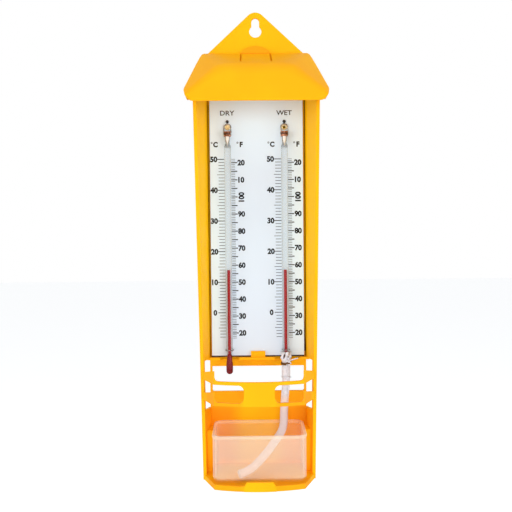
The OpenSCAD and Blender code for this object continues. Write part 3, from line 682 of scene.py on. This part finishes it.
# Each thermometer is a glass stem with a fine bore, drawn out to a tail at the top and blown to a bulb below.
# The glass is clear and lets light through. Its greyish edges and a faint veil behind the column are painted into its
# colour and alpha. Shade is painted dark where the stem is drawn in at its shoulder, and the glass is clearest over
# the bulb.
stem_top_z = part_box("dry_glass_tube")[1].z
bulb_end_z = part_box("dry_glass_tube")[0].z
shoulder_z = -0.0866
neck_z = -0.2303
stem_radius = 0.0023
tail_radius = 0.0015
bulb_radius = 0.00245
glass_profile = [
    (0.0, stem_top_z), (tail_radius - 0.0004, stem_top_z), (tail_radius, stem_top_z - 0.0005),
    (tail_radius, shoulder_z + 0.0020), (tail_radius + 0.0003, shoulder_z + 0.0010),
    (stem_radius - 0.0001, shoulder_z), (stem_radius, shoulder_z - 0.0008),
    (stem_radius, neck_z + 0.0016), (stem_radius - 0.0003, neck_z + 0.0005), (0.00178, neck_z - 0.0006),
    (0.00172, neck_z - 0.0016), (0.00195, neck_z - 0.0036), (0.00228, neck_z - 0.0066),
    (bulb_radius, neck_z - 0.0098),
]
glass_profile += [
    (bulb_radius * math.cos(a), bulb_end_z + bulb_radius * (1 - math.sin(a)))
    for a in [math.radians(15 * i) for i in range(1, 7)]
]
glass = Finish("stem_glass", {"Roughness": 0.2, "Specular IOR Level": 0.35})
painted_shoulder_shade = glass.between(glass.place("Z"), shoulder_z - 0.0020, shoulder_z - 0.0002)
painted_shoulder_shade = painted_shoulder_shade * glass.between(glass.place("Z"), shoulder_z + 0.0030, shoulder_z + 0.0012)
glass_back = glass.between(glass.place("Y"), tube_y - 0.0004, tube_y + 0.0004)
glass_edge = glass.edge(0.5)
over_stem = glass.between(glass.place("Z"), neck_z - 0.0035, neck_z - 0.0005)
clear_glass = glass.blend(glass_edge, colour(196, 210, 215), colour(158, 168, 173))
glass.feed(glass.shader, {
    "Base Color": glass.blend(painted_shoulder_shade, clear_glass, colour(70, 66, 64)),
    "Alpha": 0.015 + over_stem * (0.2 * glass_back + 0.4 * glass_edge ** 2.4) + 0.12 * painted_shoulder_shade,
})


def spun_piece(name, profile, tube_x, steps=40):
    """A turned piece: its outline is extruded point by point, spun round the tube's axis and closed."""
    bpy.ops.object.select_all(action="DESELECT")
    bpy.ops.mesh.primitive_plane_add(size=0.001)
    piece = bpy.context.object
    piece.name = name
    piece.data.name = name
    bpy.ops.object.mode_set(mode="EDIT")
    bpy.ops.mesh.select_mode(type="VERT")
    bpy.ops.mesh.select_all(action="SELECT")
    bpy.ops.mesh.merge(type="CENTER")
    bpy.ops.transform.translate(value=(tube_x + profile[0][0], tube_y, profile[0][1]))
    for (r0, z0), (r1, z1) in zip(profile, profile[1:]):
        bpy.ops.mesh.extrude_region_move(TRANSFORM_OT_translate={"value": (r1 - r0, 0, z1 - z0)})
    bpy.ops.mesh.select_all(action="SELECT")
    bpy.ops.mesh.spin(steps=steps, angle=2 * math.pi, center=(tube_x, tube_y, 0), axis=(0, 0, 1))
    bpy.ops.mesh.select_all(action="SELECT")
    bpy.ops.mesh.remove_doubles(threshold=0.000002)
    bpy.ops.mesh.normals_make_consistent(inside=False)
    bpy.ops.object.mode_set(mode="OBJECT")
    bpy.ops.object.shade_smooth_by_angle(angle=math.radians(50))
    return piece


for side, tube_x in (("dry", dry_tube_x), ("wet", wet_tube_x)):
    tube = spun_piece(side + "_tube", glass_profile, tube_x)
    tube.data.materials.append(glass.material)
    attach(tube, "case")
    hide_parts(side + "_glass_tube")
    tube.visible_shadow = False

# The spirit is dyed red. It fills the bulb, and a thread of it stands in the bore up to the reading.
# The glass magnifies both, so that they look wider than the bore is and fill the bulb to its wall.
# The thread lengthens and shortens as the reading moves, from where it leaves the bulb.
thread_radius = 0.00106
bulb_skin = 0.00008
filling_profile = [
    (0.0, neck_z - 0.0002), (0.0007, neck_z - 0.0004), (0.00140, neck_z - 0.0012),
    (0.00172, neck_z - 0.0030), (0.00195 - bulb_skin, neck_z - 0.0044), (0.00228 - bulb_skin, neck_z - 0.0070),
    (bulb_radius - bulb_skin, neck_z - 0.0100),
]
filling_profile += [
    ((bulb_radius - bulb_skin) * math.cos(a), bulb_end_z + bulb_skin + (bulb_radius - bulb_skin) * (1 - math.sin(a)))
    for a in [math.radians(15 * i) for i in range(1, 7)]
]
spirit = Finish("red_spirit", {"Roughness": 0.3, "Specular IOR Level": 0.25})
in_bulb = spirit.between(spirit.place("Z"), neck_z + 0.001, neck_z - 0.003)
spirit.feed(spirit.shader, {
    "Base Color": spirit.blend(
        in_bulb, spirit.blend(spirit.noise(400, 2), colour(140, 0, 8), colour(162, 4, 14)), colour(118, 0, 14)),
})
for side, tube_x in (("dry", dry_tube_x), ("wet", wet_tube_x)):
    filling = spun_piece(side + "_bulb_filling", filling_profile, tube_x, 32)
    filling.data.materials.append(spirit.material)
    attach(filling, "case")
    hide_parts(side + "_bulb_spirit")

    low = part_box(side + "_column")[0].z
    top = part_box(side + "_column_top")[1].z
    bpy.ops.object.select_all(action="DESELECT")
    bpy.ops.mesh.primitive_cylinder_add(
        vertices=24, radius=thread_radius, depth=top - low, location=(tube_x, tube_y, (top + low) / 2))
    thread = bpy.context.object
    thread.name = side + "_thread"
    bpy.ops.object.mode_set(mode="EDIT")
    bpy.ops.mesh.select_all(action="DESELECT")
    bpy.ops.object.mode_set(mode="OBJECT")
    for face in thread.data.polygons:
        face.select = face.normal.z > 0.9
    bpy.ops.object.mode_set(mode="EDIT")
    bpy.ops.mesh.inset(thickness=0.0004)
    bpy.ops.transform.translate(value=(0, 0, -0.0003))
    for cut in range(1, 24):
        bpy.ops.mesh.select_all(action="SELECT")
        bpy.ops.mesh.bisect(plane_co=(0, 0, low + (top - 0.001 - low) * cut / 24), plane_no=(0, 0, 1))
    bpy.ops.object.mode_set(mode="OBJECT")
    bpy.ops.object.transform_apply()
    bpy.ops.object.shade_smooth_by_angle(angle=math.radians(40))
    thread.data.materials.append(spirit.material)
    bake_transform(thread)
    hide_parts(side + "_column", side + "_column_top")

# The white backing inside the stem's drawn-out tail shows as a thin wedge, with shade painted along both sides by a
# dark body set behind it.
# It runs down from under the copper band to a point at the shoulder.
band_low_z = -0.0800
wedge_profile = [
    (0.0, band_low_z + 0.001), (0.00115, band_low_z), (0.0010, band_low_z - 0.0022), (0.0, shoulder_z - 0.0006),
]
shade_profile = [(0.0, band_low_z + 0.0012), (0.00145, band_low_z), (0.00140, band_low_z - 0.003), (0.0, shoulder_z)]
backing = Finish("tail_backing", {"Roughness": 0.6})
backing.feed(backing.shader, {
    "Base Color": backing.blend(backing.noise(900, 2), colour(246, 242, 232), colour(255, 252, 246)),
})
tail_shade = Finish("tail_shade", {"Roughness": 0.3})
tail_shade.feed(tail_shade.shader, {
    "Base Color": tail_shade.blend(tail_shade.patches(1200, 0.4, 0.6), colour(64, 50, 42), colour(150, 138, 126)),
})
for side, tube_x in (("dry", dry_tube_x), ("wet", wet_tube_x)):
    for name, profile, finish, forward in (
        ("_tail_wedge", wedge_profile, backing, 0.0006), ("_tail_shade", shade_profile, tail_shade, 0.0),
    ):
        wedge = spun_piece(side + name, profile, tube_x, 16)
        bpy.ops.object.mode_set(mode="EDIT")
        bpy.ops.mesh.select_all(action="SELECT")
        bpy.ops.transform.resize(value=(1, 0.35, 1), center_override=(tube_x, tube_y, 0))
        bpy.ops.transform.translate(value=(0, -forward, 0))
        bpy.ops.object.mode_set(mode="OBJECT")
        wedge.data.materials.append(finish.material)
        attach(wedge, "case")

# The stems are held by small metal parts: a brass eyelet, a wire arch and a copper band at the top,
# a black plastic peg above the arch, and a wire staple across each stem above its bulb.
metals = {}
for name, light, dark, metallic, rough in (
    ("brass", (236, 224, 178), (206, 184, 128), 0.55, 0.4),
    ("steel", (196, 196, 192), (112, 110, 108), 0.85, 0.36),
):
    metal = Finish("fixing_" + name, {"Metallic": metallic})
    metal.feed(metal.shader, {
        "Base Color": metal.blend(metal.patches(900, 0.38, 0.60), colour(*light), colour(*dark)),
        "Roughness": rough + 0.15 * metal.noise(1600, 2),
        "Normal": metal.bump(metal.noise(2400, 2), 0.00002),
    })
    metals[name] = metal.material
peg_plastic = Finish("peg_plastic", {})
peg_plastic.feed(peg_plastic.shader, {
    "Base Color": peg_plastic.blend(peg_plastic.noise(1500, 2), colour(12, 12, 12), colour(26, 26, 26)),
    "Roughness": 0.4 + 0.2 * peg_plastic.noise(2000, 2),
})
metals["peg"] = peg_plastic.material
band_low, band_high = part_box("dry_top_band")
band_z = (band_low.z + band_high.z) / 2
creased = Finish("fixing_copper", {"Metallic": 0.5})
crease = creased.between(creased.place("Z"), band_z + 0.0010, band_z + 0.0005)
crease = crease * creased.between(creased.place("Z"), band_z - 0.0009, band_z - 0.0005)
creased.feed(creased.shader, {
    "Base Color": creased.blend(
        0.85 * crease,
        creased.blend(creased.patches(900, 0.38, 0.60), colour(206, 146, 112), colour(110, 62, 36)),
        colour(58, 32, 20)),
    "Roughness": 0.42 + 0.15 * creased.noise(1600, 2),
    "Normal": creased.bump(creased.noise(2400, 2), 0.00002),
})
metals["copper"] = creased.material
fixings = [
    ("_eyelet", "brass"), ("_top_wire", "steel"), ("_top_band", "copper"), ("_top_peg", "peg"), ("_staple", "steel"),
]
for side in ("dry", "wet"):
    for node, metal in fixings:
        piece = joined_copy(side + node, side + node + "_metal")
        bpy.ops.object.shade_smooth_by_angle(angle=math.radians(40))
        piece.data.materials.append(metals[metal])
        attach(piece, "case")
        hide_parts(side + node)

# The dry tube's eyelet is stopped with cement, which stands a little proud in its hole.
# The wet tube's is left open, and its hole looks dark.
eyelet_z = -0.0735
bpy.ops.object.select_all(action="DESELECT")
hole_middle = (dry_tube_x, plate_front - 0.0002, eyelet_z)
bpy.ops.mesh.primitive_uv_sphere_add(segments=24, ring_count=12, radius=0.00125, location=hole_middle)
cement = bpy.context.object
cement.name = "eyelet_cement"
bpy.ops.object.mode_set(mode="EDIT")
bpy.ops.mesh.select_all(action="SELECT")
bpy.ops.transform.resize(value=(1, 0.7, 1), center_override=hole_middle)
bpy.ops.mesh.bisect(
    plane_co=(0, plate_front + 0.0004, 0), plane_no=(0, 1, 0), clear_outer=True, use_fill=True)
bpy.ops.object.mode_set(mode="OBJECT")
bpy.ops.object.transform_apply()
bpy.ops.object.shade_smooth_by_angle(angle=math.radians(50))
putty = Finish("eyelet_putty", {"Roughness": 0.75})
putty.feed(putty.shader, {
    "Base Color": putty.blend(putty.patches(1500, 0.52, 0.66), colour(244, 226, 168), colour(176, 112, 64)),
    "Normal": putty.bump(putty.noise(1800, 3), 0.0001),
})
cement.data.materials.append(putty.material)
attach(cement, "case")

# The water pot is an open tub in frosted polypropylene, thin enough for the case's colour to show through.
# It stands loose on the tray, and is lifted over the lip and drawn out to be filled.
pot_low, pot_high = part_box("water_pot")
pot_wall = 0.0012
pot_corner = 0.0065
pot_foot = 0.0030
rim_height = 0.0022
rim_proud = 0.00035
frosted = Finish("pot_polypropylene", {"Roughness": 0.5, "Specular IOR Level": 0.2})
on_wall = frosted.between(frosted.place("Z"), pot_low.z + 0.0016, pot_low.z + 0.0040)
turned_away = on_wall * frosted.edge(0.4)
at_rim = frosted.between(frosted.place("Z"), pot_high.z - rim_height - 0.0003, pot_high.z - rim_height + 0.0003)
at_front = frosted.between(frosted.place("Y"), -0.030, -0.040)
frosted.feed(frosted.shader, {
    "Base Color": frosted.blend(frosted.noise(60, 3), colour(250, 226, 200), colour(255, 234, 212)),
    "Alpha": 0.02 + on_wall * (0.06 + 0.15 * at_front) + 0.5 * turned_away ** 1.9 + 0.12 * at_rim,
    "Normal": frosted.bump(frosted.noise(1800, 3), 0.00003),
})
bpy.ops.object.select_all(action="DESELECT")
bpy.ops.mesh.primitive_cube_add(size=1, location=(pot_low + pot_high) / 2)
pot = bpy.context.object
pot.name = "frosted_pot"
pot.data.name = "frosted_pot"
pot.scale = pot_high - pot_low
bpy.ops.object.transform_apply()


def select_edges(piece, chosen):
    """Selects the edges whose two ends pass a test, and opens the piece for editing."""
    bpy.ops.object.mode_set(mode="EDIT")
    bpy.ops.mesh.select_mode(type="EDGE")
    bpy.ops.mesh.select_all(action="DESELECT")
    bpy.ops.object.mode_set(mode="OBJECT")
    for edge in piece.data.edges:
        ends = [piece.data.vertices[i].co for i in edge.vertices]
        edge.select = chosen(*ends)
    bpy.ops.object.mode_set(mode="EDIT")


select_edges(pot, lambda a, b: abs(a.z - b.z) > 0.01)
bpy.ops.mesh.bevel(offset=pot_corner, segments=8, affect="EDGES")
bpy.ops.object.mode_set(mode="OBJECT")
select_edges(pot, lambda a, b: max(a.z, b.z) < pot_low.z + 0.0001)
bpy.ops.mesh.bevel(offset=pot_foot, segments=5, affect="EDGES")
bpy.ops.mesh.select_mode(type="FACE")
bpy.ops.mesh.select_all(action="DESELECT")
bpy.ops.object.mode_set(mode="OBJECT")
for face in pot.data.polygons:
    face.select = face.normal.z > 0.9
bpy.ops.object.mode_set(mode="EDIT")
bpy.ops.mesh.delete(type="FACE")
bpy.ops.mesh.select_all(action="SELECT")
bpy.ops.mesh.bisect(plane_co=(0, 0, pot_high.z - rim_height), plane_no=(0, 0, 1))
bpy.ops.object.mode_set(mode="OBJECT")
walls = pot.modifiers.new("walls", "SOLIDIFY")
walls.thickness = pot_wall
walls.offset = -1
walls.use_even_offset = True
bpy.ops.object.modifier_apply(modifier="walls")
bpy.ops.object.mode_set(mode="EDIT")
bpy.ops.mesh.select_mode(type="FACE")
bpy.ops.mesh.select_all(action="DESELECT")
bpy.ops.object.mode_set(mode="OBJECT")
pot_middle = (pot_low + pot_high) / 2
for face in pot.data.polygons:
    out = face.center - pot_middle
    outward = out.x * face.normal.x + out.y * face.normal.y > 0.0001
    face.select = outward and face.center.z > pot_high.z - rim_height and abs(face.normal.z) < 0.2
bpy.ops.object.mode_set(mode="EDIT")
bpy.ops.mesh.inset(thickness=0.0003, depth=rim_proud, use_even_offset=True)
bpy.ops.object.mode_set(mode="OBJECT")
soften(pot, 0.00025, 2, 35)
pot.data.materials.append(frosted.material)
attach(pot, "pot")
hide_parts("water_pot")
pot.visible_shadow = False

# The floor is a white board well below the case.
# One wide lamp in front, a softer one at each side and a weak one above light the whole.
# Seen straight on, the board and the sky beyond it are both white, and the board keeps the case's shadow.
floor_z = -0.60
bpy.ops.mesh.primitive_plane_add(size=12, location=(0, 0, floor_z))
floor = bpy.context.object
floor.name = "floor"
pale = Finish("floor_board", {"Base Color": colour(250, 250, 250), "Roughness": 0.9, "Emission Color": (1, 1, 1, 1)})
pale.feed(pale.shader, {"Emission Strength": 0.45 * pale.node("LightPath", {}, {}, "Is Camera Ray")})
floor.data.materials.append(pale.material)

world = bpy.data.worlds.new("studio")
bpy.context.scene.world = world
world.use_nodes = True
nodes = world.node_tree.nodes
links = world.node_tree.links
studio = nodes["Background"]
studio.inputs["Color"].default_value = (0.94, 0.97, 1, 1)
studio.inputs["Strength"].default_value = 0.52
backdrop = nodes.new("ShaderNodeBackground")
backdrop.inputs["Color"].default_value = (1, 1, 1, 1)
backdrop.inputs["Strength"].default_value = 1
seen = nodes.new("ShaderNodeLightPath")
either = nodes.new("ShaderNodeMath")
either.operation = "MAXIMUM"
both = nodes.new("ShaderNodeMath")
both.operation = "MAXIMUM"
mixed = nodes.new("ShaderNodeMixShader")
links.new(seen.outputs["Is Camera Ray"], either.inputs[0])
links.new(seen.outputs["Is Glossy Ray"], either.inputs[1])
links.new(either.outputs[0], both.inputs[0])
links.new(seen.outputs["Is Transmission Ray"], both.inputs[1])
links.new(both.outputs[0], mixed.inputs[0])
links.new(studio.outputs[0], mixed.inputs[1])
links.new(backdrop.outputs[0], mixed.inputs[2])
links.new(mixed.outputs[0], nodes["World Output"].inputs[0])

for name, place, size, power in (
    ("front_lamp", (0.0, -1.7, -0.25), 1.0, 8),
    ("left_lamp", (-1.5, -1.1, -0.1), 0.8, 11.5),
    ("right_lamp", (1.5, -1.1, -0.1), 0.8, 11.5),
    ("top_lamp", (0.0, -0.7, 1.5), 0.8, 4.5),
):
    bpy.ops.object.light_add(type="AREA", location=place)
    lamp = bpy.context.object
    lamp.name = name
    lamp.data.size = size
    lamp.data.energy = power
    aim = Vector((0, 0, -0.15)) - Vector(place)
    lamp.rotation_euler = aim.to_track_quat("-Z", "Y").to_euler()

bpy.context.scene.view_settings.view_transform = "Standard"
